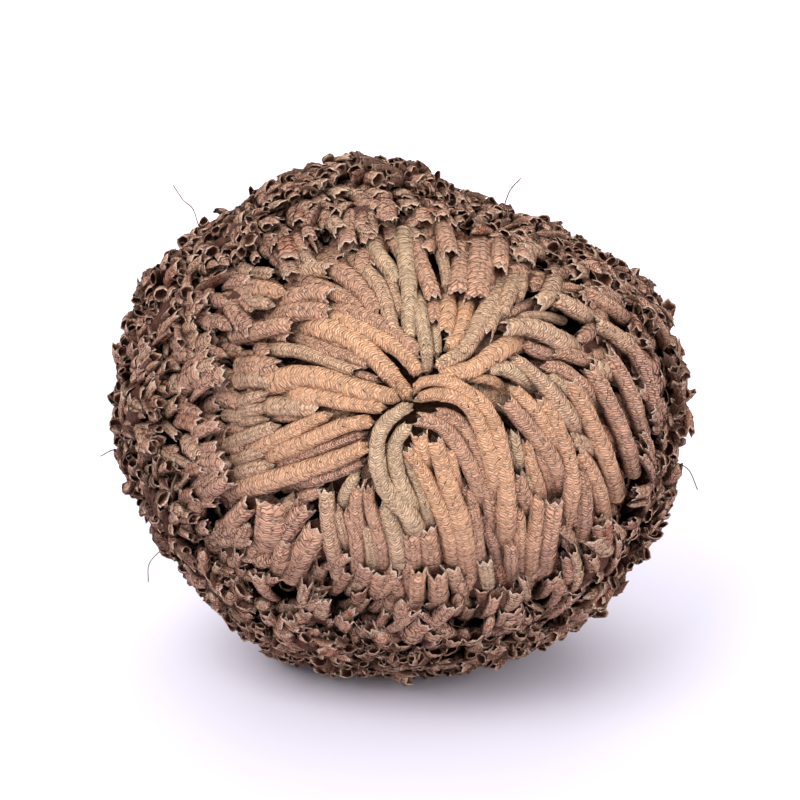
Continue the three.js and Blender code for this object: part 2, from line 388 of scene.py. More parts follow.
class Growth:
    # the arrays of one piece: corners, faces with their place in the bake map, and the corners' numbers
    def __init__(self):
        self.corners = []
        self.numbers = {name: [] for name in meshNumbers}
        self.loops = []
        self.sizes = []
        self.maps = []
        self.cells = []
        self.slots = []
        self.count = 0
        self.cellCount = 0

    def addTubes(self, corners, numbers, sides, material=0):
        # n closed tubes whose rings follow each other, each with a first and a last pole
        n, total = corners.shape[:2]
        rings = (total - 2) // sides
        j = np.arange(sides)
        k = (j + 1) % sides
        i = np.arange(rings - 1)[:, None] * sides + 1
        quads = np.stack([i + j, i + k, i + sides + k, i + sides + j], -1).reshape(-1, 4)
        first = np.stack([np.zeros(sides, int), k + 1, j + 1], -1)
        lastRing = total - 1 - sides
        last = np.stack([np.full(sides, total - 1), lastRing + j, lastRing + k], -1)
        u = j / sides
        uNext = (j + 1) / sides
        middle = (u + uNext) / 2
        low = (np.arange(rings - 1)[:, None] + 1) / (rings + 1)
        edge = 1 / (rings + 1)
        quadMap = spotsOf((u, low), (uNext, low), (uNext, low + edge), (u, low + edge))
        firstMap = spotsOf((middle, 0), (uNext, edge), (u, edge))
        lastMap = spotsOf((middle, 1), (u, 1 - edge), (uNext, 1 - edge))
        loops = np.concatenate([quads.ravel(), first.ravel(), last.ravel()])
        sizes = np.concatenate([np.full(len(quads), 4), np.full(2 * sides, 3)])
        cellMap = np.concatenate([quadMap, firstMap, lastMap])
        offsets = self.count + np.arange(n)[:, None] * total
        self.corners.append(corners.reshape(-1, 3))
        for name, values in self.numbers.items():
            values.append(np.broadcast_to(numbers.get(name, 0.0), (n, total)).ravel())
        self.loops.append((loops[None, :] + offsets).ravel())
        self.sizes.append(np.tile(sizes, n))
        self.maps.append(np.tile(cellMap, (n, 1)))
        self.cells.append(np.repeat(np.arange(n) + self.cellCount, len(loops)))
        self.slots.append(np.full(n * len(sizes), material))
        self.count += n * total
        self.cellCount += n

    def addShell(self, rings, material=0):
        # one tube that carries no numbers, closed at the middles of its first and its last ring
        first = rings[0].mean(axis=0)
        last = rings[-1].mean(axis=0)
        strip = np.concatenate([first[None], rings.reshape(-1, 3), last[None]])
        self.addTubes(strip[None], {}, rings.shape[1], material)

    def finish(self, name, materials):
        # one mesh object at the origin, with its bake map laid out as a square grid of cells
        corners = np.concatenate(self.corners)
        corners[:, 2] = np.maximum(corners[:, 2], meshing["lowest"])
        loops = np.concatenate(self.loops)
        sizes = np.concatenate(self.sizes)
        mesh = bpy.data.meshes.new(name)
        mesh.vertices.add(len(corners))
        mesh.vertices.foreach_set("co", (corners * metre).astype(np.float32).ravel())
        mesh.loops.add(len(loops))
        mesh.loops.foreach_set("vertex_index", loops.astype(np.int32))
        mesh.polygons.add(len(sizes))
        starts = np.concatenate([[0], np.cumsum(sizes)[:-1]])
        faces = {"loop_start": starts, "loop_total": sizes, "material_index": np.concatenate(self.slots)}
        for key, values in faces.items():
            mesh.polygons.foreach_set(key, values.astype(np.int32))
        mesh.polygons.foreach_set("use_smooth", np.ones(len(sizes), bool))
        columns = math.ceil(math.sqrt(self.cellCount))
        cells = np.concatenate(self.cells)
        origin = np.stack([cells % columns, cells // columns], -1)
        margin = meshing["cellMargin"]
        bakeMap = (origin + margin + np.concatenate(self.maps) * (1 - 2 * margin)) / columns
        layer = mesh.uv_layers.new(name="OFBake")
        layer.data.foreach_set("uv", bakeMap.astype(np.float32).ravel())
        for key, values in self.numbers.items():
            made = mesh.attributes.new(key, "FLOAT", "POINT")
            made.data.foreach_set("value", np.concatenate(values).astype(np.float32))
        mesh.update(calc_edges=True)
        mesh.validate()
        mesh.set_sharp_from_angle(angle=math.radians(meshing["sharpAngle"]))
        for material in materials:
            mesh.materials.append(material)
        return show(name, mesh)


def framesAlong(paths, outward):
    # the tangent, and the outward way carried along so that it never spins
    tangents = unit(np.gradient(paths, axis=1))
    normals = np.empty_like(paths)
    carried = outward
    for step in range(paths.shape[1]):
        t = tangents[:, step]
        carried = unit(carried - np.sum(carried * t, -1, keepdims=True) * t)
        normals[:, step] = carried
    return tangents, normals, np.cross(tangents, normals)


def sampleAlong(values, run, targets):
    # each path's values at given lengths along it, straight between its samples
    before = np.clip((run[:, None, :] <= targets[:, :, None]).sum(-1) - 1, 0, run.shape[1] - 2)
    rows = np.arange(len(run))[:, None]
    start = run[rows, before]
    step = np.maximum(run[rows, before + 1] - start, 1e-9)
    share = np.clip((targets - start) / step, 0, 1)
    if values.ndim == 3:
        share = share[..., None]
    return values[rows, before] * (1 - share) + values[rows, before + 1] * share


# What all ropes share: how rims lead and wander in pitches, the spread of leaf tones, how foot and rim
# count as a leaf's edge, which sets the painted shade at the foot and the painted highlight at the rim,
# over how many collars an end is cut aslant or flattened, and, for the two rings inside an open end, what
# they keep of the rim's radius and lead, how they sink and how much painted shade they carry.
tube = {
    "rimLead": 0.2, "rimWander": 0.2, "toneSpread": 0.22, "footEdge": 0.5, "rimEdge": 0.8,
    "tornWander": 0.6, "slantCollars": 3, "bluntCollars": 2, "bluntTip": 0.4,
    "lipRadii": (0.86, 0.72), "lipLeads": (1.0, 0.4), "lipSink": 0.06, "lipShade": (0.12, 0.8),
    "floorSink": 1.1, "floorSlant": 0.2,
}


def growTubes(growth, ropes, shape, end, rng):
    # A tube of collars along each path. A collar has a narrow foot and a rim that juts over the next
    # foot; every second corner is a leaf's middle and the rest are the seams between leaves, and each
    # collar is turned half a leaf from the last. The rim's leaves run back on the rope's back, the tube
    # is rolled about its path, and its mouth is cut aslant and folds into a hollow that is coloured with
    # painted shade.
    paths, radii = ropes["paths"], ropes["radii"]
    n = len(paths)
    sides = shape["leaves"] * 2
    steps = np.linalg.norm(np.diff(paths, axis=1), axis=-1)
    run = np.concatenate([np.zeros((n, 1)), np.cumsum(steps, axis=1)], axis=1)
    length = run[:, -1]
    collars = max(tube["slantCollars"], int(round(length.mean() / shape["pitch"])))
    pitch = length / collars

    centre = np.array([0, 0, restHeight])
    tangents, normals, sideways = framesAlong(paths, unit(paths[:, 0] - centre))
    collarOf = np.repeat(np.arange(collars), 2)
    isRim = np.tile([0.0, 1.0], collars)
    along = np.minimum((collarOf + isRim)[None, :] * pitch[:, None], length[:, None])
    where = sampleAlong(paths, run, along)
    tangent = unit(sampleAlong(tangents, run, along))
    straight = unit(sampleAlong(normals, run, along))
    level = unit(sampleAlong(sideways, run, along))
    cosine = np.cos(ropes["rolls"])[:, None, None]
    sine = np.sin(ropes["rolls"])[:, None, None]
    normal = straight * cosine + level * sine
    side = level * cosine - straight * sine
    radius = sampleAlong(radii, run, along)
    age = sampleAlong(ropes["ages"], run, along)

    j = np.arange(sides)
    phi = 2 * np.pi * j / sides
    turned = (j[None, :] + collarOf[:, None] % 2) % sides
    isMiddle = (turned % 2 == 0).astype(float)
    wild = rng.normal(0, 1, (n, collars, shape["leaves"]))
    leafWild = wild[:, collarOf[:, None], (turned // 2) % shape["leaves"]]
    rim = isRim[:, None]
    middleRadius = 1 - shape["relief"] * (1 - rim) + shape["flare"] * rim
    seamRadius = middleRadius - shape["seam"] * rim
    radial = middleRadius * isMiddle + seamRadius * (1 - isMiddle) + shape["ragged"] * rim * leafWild
    lead = -shape["chevron"] * np.cos(phi)[None, :] + shape["point"] * rim * (isMiddle - 0.5)
    axial = (lead + tube["rimLead"] * rim)[None] + tube["rimWander"] * rim * leafWild
    axial = axial * pitch[:, None, None]
    if end == "open":
        # the last rim stands out in points where the end is torn, and is cut back underneath
        lastRim = ((collarOf == collars - 1) & (isRim == 1))[None, :, None]
        spikes = shape["spike"] * (isMiddle + tube["tornWander"] * leafWild) * pitch[:, None, None]
        slant = ropes["slants"][:, None, None] * radius[..., None] * (1 - np.cos(phi))[None, None, :] / 2
        nearEnd = (collarOf + isRim - collars + tube["slantCollars"]) / tube["slantCollars"]
        nearEnd = np.clip(nearEnd, 0, 1)[None, :, None]
        axial = axial + np.where(lastRim, spikes, 0) - slant * nearEnd
    else:
        axial = axial * np.clip((collars - collarOf) / tube["bluntCollars"], 0, 1)[None, :, None]
    flat = ropes["flats"][:, None, None, None]

    def ringsAt(radial, axial, where, tangent, normal, side, radius):
        # from the path, out by the radius at each corner's angle and ahead by the corner's lead
        out = normal[:, :, None] * np.cos(phi)[None, None, :, None] * flat
        out = out + side[:, :, None] * np.sin(phi)[None, None, :, None]
        moved = where[:, :, None] + out * (radial * radius[..., None])[..., None]
        return moved + tangent[:, :, None] * axial[..., None]

    rings = ringsAt(radial, axial, where, tangent, normal, side, radius)
    leafTone = np.clip(0.5 + tube["toneSpread"] * leafWild, 0, 1)
    # a collar's foot is low on the leaf's edge, which gets it painted shade, and its rim is high, which
    # gets it a painted highlight; the last rim is highest
    foot = tube["footEdge"] * (1 - shape["pit"])
    leafEdge = np.broadcast_to((foot + (tube["rimEdge"] - foot) * rim)[None], leafTone.shape).copy()
    leafEdge[:, -1] = 1
    ringAge = np.broadcast_to(age[..., None], leafTone.shape)
    hollowShade = np.zeros_like(leafTone)
    ringRun = np.broadcast_to(along[..., None], leafTone.shape) + axial

    if end == "open":
        # the lip, the wall and the floor of the hollow, each with its share of painted shade
        def pair(values):
            # a value for each of the two rings inside
            return np.array(values)[None, :, None]

        def lastTwice(values):
            # the last rim's values for both of them
            return np.repeat(values[:, -1:], 2, axis=1)

        sink = pair([tube["lipSink"], shape["hollowDepth"]]) * radius[:, -1:, None]
        lipAxial = axial[:, -1:] * pair(tube["lipLeads"]) - sink
        two = [lastTwice(values) for values in (where, tangent, normal, side, radius)]
        lip = ringsAt(radial[:, -1:] * pair(tube["lipRadii"]), lipAxial, *two)
        rings = np.concatenate([rings, lip], axis=1)
        carried = (leafTone, leafEdge, ringAge, ringRun)
        carried = (np.concatenate([values, lastTwice(values)], axis=1) for values in carried)
        leafTone, leafEdge, ringAge, ringRun = carried
        # painted shade on the two rings inside, and in full at the floor's pole
        dark = np.broadcast_to(pair(tube["lipShade"]), lipAxial.shape)
        hollowShade = np.concatenate([hollowShade, dark], axis=1)
        deep = shape["hollowDepth"] * tube["floorSink"] + tube["floorSlant"] * ropes["slants"]
        deep = radius[:, -1] * deep
        endPole = where[:, -1] - tangent[:, -1] * deep[:, None]
        poleShade = 1.0
    else:
        endPole = where[:, -1] + tangent[:, -1] * (pitch * tube["bluntTip"])[:, None]
        poleShade = 0.0

    def closed(values, first, last):
        # the rings' values in a row, between those of the two poles
        flatter = values.reshape(n, -1, *values.shape[3:])
        return np.concatenate([first[:, None], flatter, last[:, None]], axis=1)

    one = np.ones(n)
    folded = np.abs((phi + np.pi) % (2 * np.pi) - np.pi) / np.pi
    corners = closed(rings, paths[:, 0], endPole)
    numbers = {
        "age": closed(ringAge, ropes["ages"][:, 0], ropes["ages"][:, -1]),
        "leafTone": closed(leafTone, 0.5 * one, 0.5 * one),
        "leafEdge": closed(leafEdge, 0 * one, 0.5 * one),
        "hollowShade": closed(hollowShade, 0 * one, poleShade * one),
        "run": closed(ringRun, 0 * one, length),
        "across": closed(np.broadcast_to(folded, leafTone.shape), 0.5 * one, 0.5 * one),
        "branchTone": np.broadcast_to(ropes["tones"][:, None], corners.shape[:2]),
    }
    growth.addTubes(corners, numbers, sides)


def growBlade(growth, index, number, looks):
    # the frond's own lens-shaped section along its arc, under the ropes, with ribs along it
    whorl = whorls[index]
    tip = tipOf(index, number) + looks["setBack"]
    stations = looks["stations"]
    sides = looks["sides"]
    fromMouth = np.linspace(tip, baseOf(index), stations)[:, None] + np.zeros((1, sides))
    psi = 2 * np.pi * np.arange(sides) / sides
    x = np.cos(psi)[None, :]
    z = np.sin(psi)[None, :]
    rounding = 1 - (2 * np.linspace(0, 1, stations) - 1) ** looks["squareness"]
    ends = np.sqrt(np.clip(rounding, 0.02, 1))[:, None]
    outer = depthOf(index, fromMouth)
    last = index == len(whorls) - 1
    full = ball["frondThickness"] if last else layerPitch * shareOf(whorl, fromMouth) - ball["layerGap"]
    curl = ball["heartCurl"] * smooth(1 - (fromMouth - tip) / ball["heartCurlSpan"]) if last else 0
    inset = looks["inset"][index] * smooth((fromMouth - tip) / looks["insetSpan"]) + looks["skin"]
    thickness = np.maximum(full - inset, looks["thinnest"])
    ribs = looks["rib"] * np.sin(x * looks["ribs"] + number) * np.maximum(z, 0)
    depth = outer + curl + inset + thickness * (1 - z * ends) / 2 - ribs * ends
    low = edgeOf(whorl, number, fromMouth)
    high = edgeOf(whorl, number + 1, fromMouth)
    narrowing = 0.5 + 0.5 * smooth((fromMouth - tip) / ball["tipSpan"])
    half = (high - low) / 2 * looks["fill"] * narrowing * ends
    # the rings run from the tip to the base, so they are taken the other way round to face outwards
    growth.addShell(inTheBall(fromMouth, (low + high) / 2 - half * x, depth), material=1)


# The ropes of each whorl: how many leaves go round, the collars' pitch, and how they stand out; pit is
# how strong the painted shade is at the leaves' feet.
heartShape = {
    "leaves": 7, "pitch": 0.8, "relief": 0.06, "flare": 0.02, "seam": 0.03, "ragged": 0.035,
    "point": 0.5, "chevron": 0.6, "spike": 0.35, "pit": 0.4, "hollowDepth": 1.2,
}
ropeShape = {
    "leaves": 6, "pitch": 0.85, "relief": 0.08, "flare": 0.04, "seam": 0.03, "ragged": 0.04,
    "point": 0.5, "chevron": 0.5, "spike": 0.22, "pit": 0.5, "hollowDepth": 1.1,
}
twigShape = {
    "leaves": 5, "pitch": 1.05, "relief": 0.10, "flare": 0.0, "seam": 0.02, "ragged": 0.045,
    "point": 0.3, "chevron": 0.4, "spike": 0.04, "pit": 0.6, "hollowDepth": 0.9,
}
bladeLooks = {
    "stations": 36, "sides": 20, "setBack": 2, "inset": (3.4, 3.2, 3.2, 1.8), "insetSpan": 20,
    "skin": 0.3, "thinnest": 0.5, "squareness": 8, "rib": 0.3, "ribs": 14, "fill": 1.06,
}

# A tone of rope: its age and its branch's own tone.
ropeTones = {
    "golden": (0.04, 0.40), "pink": (0.42, 0.40), "pale": (0.28, 0.84), "olive": (0.16, 0.98),
    # brown, the oldest and darkest tone, goes to ropes that lie low in the shade between others: partly
    # their own older colour and partly painted shade
    "brown": (0.80, 0.45), "rust": (0.60, 0.03),
}

# The ropes about the mouth, laid one by one as they are seen from ahead. Each has its tone and whether
# its tip is blunt or open, then how far it is lifted and its widths at tip and base, and then its places
# from the tip outwards, each across and up from the mouth's middle; all of these in mm.
heartRopes = [
    # above and left of the mouth
    ("golden", "blunt", 0.9, 1.9, 2.7, -0.5, -1.9, -2.3, 0.2, -4.4, 2.7, -6.8, 5.2, -10, 7.5, -13.5, 8.7,
     -17.5, 9.4),
    ("golden", "blunt", 0.6, 1.7, 2.3, 0.9, 1.7, -0.4, 3.6, -2.4, 5.6, -5, 7.2, -8, 8.7, -11.5, 9.9,
     -15, 10.4),
    ("pink", "open", 0.4, 1.7, 2.4, 0.6, 5.1, -1.7, 7.1, -4.2, 8.9, -6.8, 10.2, -10, 11.1, -14, 11.6),
    ("rust", "open", 0.5, 1.5, 1.7, 1.0, 4.6, -0.7, 5.4, -2.3, 6.4),
    ("pink", "open", 0.4, 2.0, 2.5, -5.4, 10.4, -6.7, 12.9, -8.7, 15.3, -11, 17.1, -14, 18.6),
    ("pink", "blunt", 0.2, 1.5, 2.3, -7.6, 11.4, -9.7, 12.9, -12, 14.2, -15, 15.2, -18, 15.4),
    ("pale", "blunt", 0.9, 1.5, 2.0, -2.9, 8.0, -3.8, 10.5, -4.4, 13.1, -5.5, 15.4, -7.3, 17.4,
     -9.6, 19.2),
    ("pale", "blunt", 0.4, 1.2, 1.6, -2.2, 10.6, -2.8, 13.2, -3.8, 15.6, -5.8, 17.8),
    ("olive", "blunt", 0.1, 1.7, 2.2, -2.6, 15.0, -3.5, 17.2, -5.2, 19.6, -7, 22.5),
    ("olive", "blunt", 0.4, 1.5, 2.3, -0.5, 6.8, -0.9, 9.5, -0.8, 12.4, -0.9, 15.4, -1.3, 18.8, -1.8, 23),
    ("olive", "blunt", 0.6, 1.2, 2.0, 1.9, 1.9, 2.0, 3.9, 1.7, 6.5, 1.2, 9.3, 0.6, 12.2, -0.2, 15.2),
    ("olive", "blunt", -0.2, 1.1, 1.4, 3.5, 4.3, 3.3, 6.3, 3.1, 8.6, 3.0, 11),
    ("pink", "open", 0.3, 1.8, 2.0, 3.1, 9.3, 2.9, 11.1, 3.1, 13.2),
    ("pink", "open", 0.6, 1.9, 2.1, 2.9, 13.2, 2.4, 14.9, 1.7, 16.7, 0.9, 18.8, 0.2, 22),
    ("golden", "open", 0.3, 1.9, 2.1, 4.5, 7.8, 4.9, 9.8, 5.0, 12, 5.0, 14.5),
    ("golden", "blunt", -0.1, 2.0, 2.2, 4.6, 5.7, 6.3, 6.9, 7.2, 9, 7.7, 11.4, 8, 14),
    ("pink", "open", 0.5, 2.5, 1.9, 6.6, 13.4, 6.7, 15.4, 6.9, 17.8, 7.2, 21),
    ("pale", "blunt", 0.2, 1.2, 1.6, 4.8, 14.3, 4.9, 16.3, 4.4, 18.8, 3.6, 22),
    ("pink", "open", 0.9, 2.1, 2.4, 5.5, 19.6, 4.9, 21.6, 4.2, 24.5),
    ("pink", "open", 0.8, 2.9, 3.1, 9.4, 12.5, 9.6, 15, 9.9, 18, 10.2, 22.5),
    ("rust", "open", 0.8, 1.3, 1.5, 11.3, 14.4, 11.3, 16.4, 11.2, 18.6),
    ("pink", "open", 0.9, 2.0, 2.4, 12.7, 17.3, 12.9, 19.6, 12.9, 23),
    ("pale", "blunt", 0.7, 1.7, 2.4, 3.2, 3.1, 5.6, 4.2, 7.8, 5.8, 9.2, 8.2, 10.6, 11, 12.2, 13.6,
     13.4, 16.4),
    ("pale", "open", 1.0, 1.8, 2.0, 10.7, 8.0, 11.5, 9.8, 12.5, 11.8, 13.3, 14),
    ("pale", "blunt", 0.7, 1.5, 2.4, 13.0, 10.0, 13.6, 12.2, 14.4, 14.6, 15.1, 17.6),
    ("pale", "blunt", 0.4, 1.2, 1.7, 15.5, 12.6, 16.1, 14.6, 16.3, 17),
    ("golden", "blunt", 1.0, 1.8, 2.6, 3.6, 1.6, 6.4, 2.0, 9.2, 3.0, 11.8, 4.8, 14.2, 6.2, 17.4, 7),
    # right of the mouth
    ("pale", "open", 1.6, 1.9, 2.9, 13.3, 8.6, 15.4, 9.1, 17.8, 8.9, 20.4, 7.9, 22.8, 6.4, 25.8, 4.4),
    ("pale", "blunt", 1.7, 0.9, 1.2, 15.3, 10.3, 17.4, 10.8, 19.6, 10.7, 22.4, 9.9),
    ("brown", "blunt", 0.3, 1.1, 1.6, 12.9, 10.0, 15.2, 11.3, 17.8, 12.5),
    ("pale", "open", 0.8, 2.0, 2.3, 18.4, 12.3, 19.8, 13.2, 20.8, 15, 21.4, 17.6),
    ("pale", "open", 0.9, 1.9, 2.5, 21.0, 13.4, 23.2, 12.3, 25.6, 10.9, 28.2, 9.2),
    ("brown", "blunt", 0.1, 1.4, 2.0, 16.2, 7.0, 18, 5.6, 20.4, 4.9, 23.6, 4.5),
    ("pink", "open", 1.0, 1.4, 2.0, 20.7, 5.3, 22.9, 5.0, 25.5, 4.1, 28.2, 2.6),
    ("pale", "blunt", 1.3, 1.3, 2.7, 14.5, 4.5, 16.4, 3.4, 18.4, 1.6, 20.2, -0.4, 22, -2.7, 23.8, -5.3,
     25.4, -8.4),
    ("olive", "blunt", 0.3, 1.6, 2.3, 10.6, 2.4, 12.8, 2.9, 15, 2.3, 17, 0.9, 19, -1.2),
    ("golden", "blunt", 1.1, 0.9, 1.4, 8.3, 0.7, 10.2, 1.2, 12.2, 0.7, 13.4, -1.0),
    ("olive", "blunt", 0.9, 1.3, 1.8, 19.7, 1.7, 21.6, 0.8, 22.9, -0.9, 23.9, -3.2),
    ("pink", "blunt", 1.0, 1.3, 2.3, 19.2, 3.0, 21.6, 2.9, 23.8, 1.6, 25.8, -0.6, 27.5, -3.6),
    ("pink", "open", 1.1, 1.9, 2.2, 13.6, -1.9, 15.2, -3.8, 17, -5.9, 18.8, -8, 20.4, -10.4, 21.6, -13.2,
     22.4, -16.6),
    ("golden", "blunt", 1.0, 1.7, 2.1, 14.6, 0, 16.4, -1.8, 18.2, -3.8, 19.8, -6.1, 21.1, -8.7,
     22.2, -11.8),
    ("golden", "open", 1.2, 1.6, 2.3, 18.6, -1.9, 20.2, -3.4, 21.5, -5.6, 22.5, -8.4, 23.4, -11.4,
     23.8, -14.6, 23.5, -17.8, 22.5, -21),
    ("pale", "open", 0.5, 1.7, 2.2, 22.9, -7.4, 24.6, -8.3, 26.6, -9.2, 29, -10.6),
    ("pink", "open", 0.4, 1.8, 2.4, 25.0, -12.4, 25.5, -15.4, 25.7, -18.6, 25.3, -22.4),
    ("golden", "open", 1.0, 2.2, 2.3, 23.6, 0.6, 25.4, -3, 27.6, -7.5, 29.6, -12.6, 30.4, -16.5),
    ("pink", "open", 0.9, 2.1, 2.2, 26.4, 3.0, 28.4, -0.5, 30.4, -4.6, 32.2, -9.2, 33, -13),
    ("pink", "open", 0.8, 2.0, 2.1, 29.2, 4.6, 31.4, 1.4, 33.2, -2.6, 34.4, -7.2),
    ("brown", "open", 0.7, 1.8, 2.0, 32.7, 6.0, 34.6, 2.6, 35.9, -1.5, 36.4, -5.5),
    ("pale", "open", 0.6, 1.9, 2.1, 26.6, 9.6, 29.4, 8.4, 32.2, 6.2, 34.6, 3.4),
    ("pink", "open", 0.6, 1.8, 2.0, 25.2, 14.2, 27.6, 13.2, 30.4, 11.4, 33, 9),
    ("golden", "open", 0.6, 1.9, 2.1, 24.4, -9.6, 26.4, -12.4, 28, -16, 28.6, -20),
    # the two arches and the ropes under them
    ("golden", "blunt", 1.9, 1.2, 2.5, -0.1, -0.9, 0.7, 0.4, 2.8, 1.0, 5, 0.8, 7.2, -0.2, 9.2, -1.5,
     11, -3.5, 12.3, -6.2, 13.1, -9.4, 13.6, -12.8, 13.9, -16.4, 13.9, -20.4, 13.7, -24.6),
    ("golden", "blunt", 1.6, 1.4, 2.3, 0.1, -2.0, 2.3, -1.2, 4.8, -1.1, 7, -1.9, 8.8, -3.6, 10, -6,
     10.9, -8.6, 11.7, -11.4, 12.2, -14.6, 12.4, -18.2),
    ("pink", "blunt", 0.5, 1.6, 2.2, 2.9, -4.1, 5, -4.4, 7, -5.7, 8.5, -7.6, 9.6, -9.8, 10.5, -12.4,
     11.2, -15.4, 11.8, -18.8, 12.4, -22.6),
    ("pink", "open", 0.9, 1.6, 2.2, 0.6, -4.9, 2.6, -5.3, 4.6, -6.4, 6.1, -8.2, 7.4, -10.2, 8.8, -12.8,
     9.9, -15.8, 10.8, -19),
    ("golden", "open", 1.1, 1.8, 1.8, 0.7, -7.1, 1.0, -8.8, 1.7, -10.8, 2.7, -13.2),
    ("golden", "open", 0.8, 1.5, 2.4, -1.0, -9.7, 0.4, -11.5, 1.8, -14, 3.2, -16.9, 4.6, -20, 5.6, -23.4,
     6.1, -27.4),
    ("golden", "open", 1.1, 1.9, 2.6, 3.0, -7.9, 3.8, -10.5, 4.6, -13.3, 5.6, -16.3, 6.8, -19.7,
     7.6, -23.5, 8, -28),
    ("golden", "open", 0.8, 1.4, 1.7, 5.2, -8.9, 5.7, -11.4, 6.1, -14, 7, -17),
    ("brown", "blunt", -0.3, 1.2, 1.3, 7.4, -14.2, 7.5, -15.9, 7.8, -17.8),
    ("pink", "blunt", 0.3, 1.4, 2.0, 8.3, -14.9, 8.7, -17.6, 9.2, -20.6, 9.5, -24, 9.8, -28),
    ("brown", "blunt", -0.5, 1.3, 1.9, 9.9, -18.6, 10.9, -21, 11.9, -23.6, 12.8, -27),
    ("golden", "blunt", 0.2, 1.6, 2.0, 15.3, -17.9, 15.7, -20.2, 15.9, -22.8, 15.9, -27),
    ("pink", "blunt", 0.8, 1.6, 1.8, 14.5, -22.9, 14.6, -25.4, 14.6, -28.4),
    ("pink", "open", 0.2, 2.0, 2.4, 15.0, -13.3, 15.8, -15.2, 16.7, -17.2, 17.3, -19.6),
    ("olive", "open", 0.4, 1.4, 1.7, 16.9, -12.2, 17.5, -14.2, 17.9, -16.4),
    ("golden", "blunt", 0.6, 1.7, 2.2, 18.5, -16.3, 18.5, -18.8, 18.2, -21.4, 17.8, -24.4, 17.4, -28),
    ("pink", "open", 0.9, 2.3, 2.3, 20.9, -17.5, 20.7, -20.4, 20.2, -23.4, 19.6, -27.4),
    ("olive", "open", 0.4, 1.6, 1.9, 14.7, -6.9, 15.1, -9, 15.8, -11.2, 16.6, -13.4),
    ("golden", "open", 0.6, 1.4, 1.9, 17.1, -8.1, 17.3, -10.2, 17.9, -12.6, 18.7, -15.2, 19.3, -18.2),
    ("pink", "blunt", 0.8, 1.2, 1.6, 18.4, -8.4, 19.2, -10.8, 20, -13.4, 20.7, -16.6),
    # the two hooks and what lies below them
    ("olive", "blunt", 1.5, 1.4, 2.5, -0.4, -2.7, -2.4, -3.8, -4.4, -5.4, -5.5, -7.6, -5.7, -10.2,
     -5.4, -12.8, -4.5, -15.2, -3, -17.2, -1.2, -18.9, 0, -21.2, 0.6, -24.4),
    ("olive", "blunt", 1.0, 1.5, 2.2, -0.5, -5.8, -2, -7, -3, -8.8, -3, -11.2, -2.4, -13.8, -1.4, -16.2,
     -0.4, -18.6, 0.3, -21.4),
    ("olive", "blunt", 0.1, 1.2, 2.0, -1.7, -9, -1.2, -10.6, -0.4, -12.6, 0.6, -14.8, 1.4, -17.2,
     2.1, -19.8, 2.4, -23),
    ("pink", "open", 0.7, 2.3, 2.4, 1.8, -21.3, 2.2, -23.8, 2.6, -27.4),
    ("pink", "open", 0.9, 2.1, 2.3, -0.5, -21.7, -0.3, -24, 0, -27.6),
    ("rust", "open", -0.2, 1.2, 1.6, 3.9, -20.3, 4.3, -22.6, 4.5, -25.4),
    ("olive", "blunt", 0.5, 1.8, 2.5, -4.6, -17.4, -3.8, -19.8, -3, -22.4, -2.4, -25.2, -2, -28.6),
    ("olive", "blunt", 0.5, 1.2, 1.8, -8.4, -12.7, -9.6, -14.5, -10.5, -16.6, -11.1, -19.2),
    ("pink", "open", 0.6, 1.4, 1.9, -8.3, -14.6, -8.8, -17, -8.7, -19.4, -8, -21.8, -7.2, -24.6),
    ("pink", "open", 0.7, 1.3, 1.9, -6.9, -14.9, -6.9, -17.2, -6.3, -19.6, -5.5, -22.2, -5, -25,
     -4.8, -28.4),
    ("pale", "blunt", 0.6, 1.1, 1.7, -11.7, -18, -11.3, -20.2, -10.6, -22.7, -9.9, -25.6),
    ("pink", "blunt", 0.4, 1.4, 1.9, -10.1, -18.1, -9.6, -20.4, -8.9, -22.9, -8.6, -25.7, -8.6, -28.6),
    ("olive", "blunt", 0.3, 1.4, 1.8, -7.5, -20.4, -6.9, -22.5, -6.5, -25, -6.3, -28.4),
    ("pale", "open", 0.6, 1.7, 2.1, -13.3, -16, -13.2, -18.8, -12.9, -21.7, -12.3, -24.8, -11.4, -28.2),
    ("pink", "open", 0.8, 2.2, 2.3, 3.4, -28.0, 3.6, -30.4, 3.6, -33),
    ("golden", "open", 0.6, 1.9, 2.2, 0.6, -27.2, 0.4, -29.6, 0.2, -32.6),
    ("pink", "open", 0.8, 2.2, 2.3, -24.5, -17.5, -26.6, -19.6, -28.8, -22),
    ("brown", "open", 0.6, 1.9, 2.1, -27.5, -13.6, -29.6, -15, -32, -16.6),
    # left of the mouth
    ("golden", "blunt", 1.2, 1.8, 2.9, -2.4, -1.9, -5, -1.1, -8, -0.4, -11, 0.4, -14, 1.3, -17.2, 1.6,
     -20.6, 0.8, -24, -0.6),
    ("golden", "blunt", 0.8, 1.5, 2.3, -4.4, -3.1, -7.2, -2.8, -10.2, -2.4, -13.4, -1.7, -17, -1.2,
     -21, -1.6),
    ("brown", "blunt", 0.0, 1.1, 1.3, -5.2, 0.8, -7.7, 1.6, -10.4, 2.1),
    ("pale", "open", 0.5, 1.4, 1.8, -8.5, 2.2, -11.2, 3.0, -14, 4.2, -16.8, 5.2, -19.8, 5.6, -23.4, 5.2),
    ("pink", "blunt", 0.4, 1.4, 1.7, -6.4, 3.2, -9, 4.4, -12, 5.2, -15.2, 6.4, -18.6, 7.8),
    ("olive", "blunt", 0.2, 1.1, 1.5, -8.6, 5.5, -11.4, 6.6, -14.4, 7.6, -17.8, 8.6),
    ("pale", "open", 0.4, 2.1, 2.4, -14.9, -3.1, -17.8, -3.1, -21, -3.0, -24.5, -3.3),
    ("pink", "open", 0.0, 1.2, 1.5, -16.4, -4.8, -19, -4.5, -22.4, -4.3),
    ("golden", "blunt", 0.8, 1.3, 2.3, -12.6, -4.1, -14.8, -4.9, -17.4, -6.2, -20.2, -7.6, -23.2, -9,
